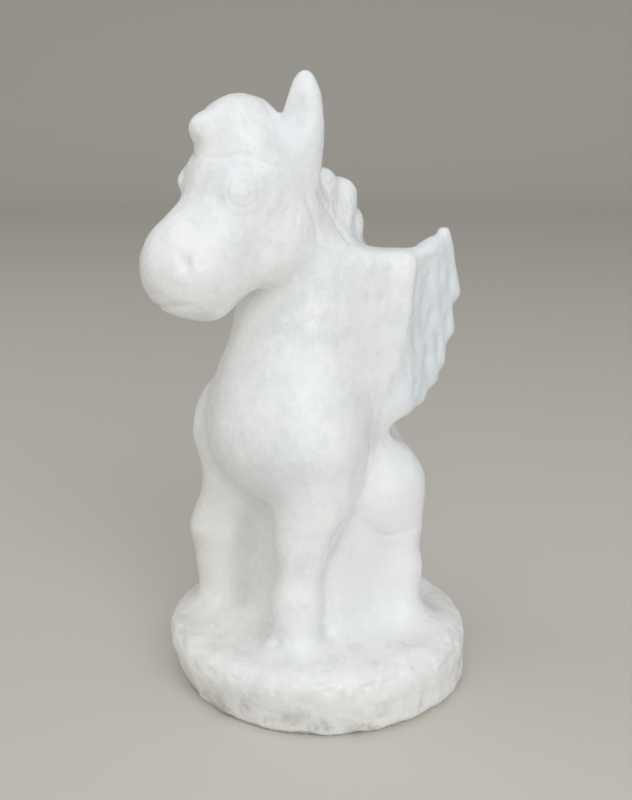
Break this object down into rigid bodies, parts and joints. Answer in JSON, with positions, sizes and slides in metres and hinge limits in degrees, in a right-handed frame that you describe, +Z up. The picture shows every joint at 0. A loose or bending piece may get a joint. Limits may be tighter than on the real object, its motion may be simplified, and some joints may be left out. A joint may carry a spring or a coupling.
{
  "type": "carved stone pegasus figure",
  "caption": "Small standing winged horse carved with its round base from one block of milky white stone; rests on its flat underside.",
  "frame": {"origin": "middle of the round base's flat underside", "axes": "+Z up; the horse faces -Y and its left side is +X"},
  "size_m": [0.0664, 0.0721, 0.1294],
  "materials": {
    "white_stone": "milky white translucent jade, satin polish with cloudy veining, small chips round the base"
  },
  "bodies": {
    "root": {"pegasus_carving": "white_stone"}
  },
  "joints": []
}
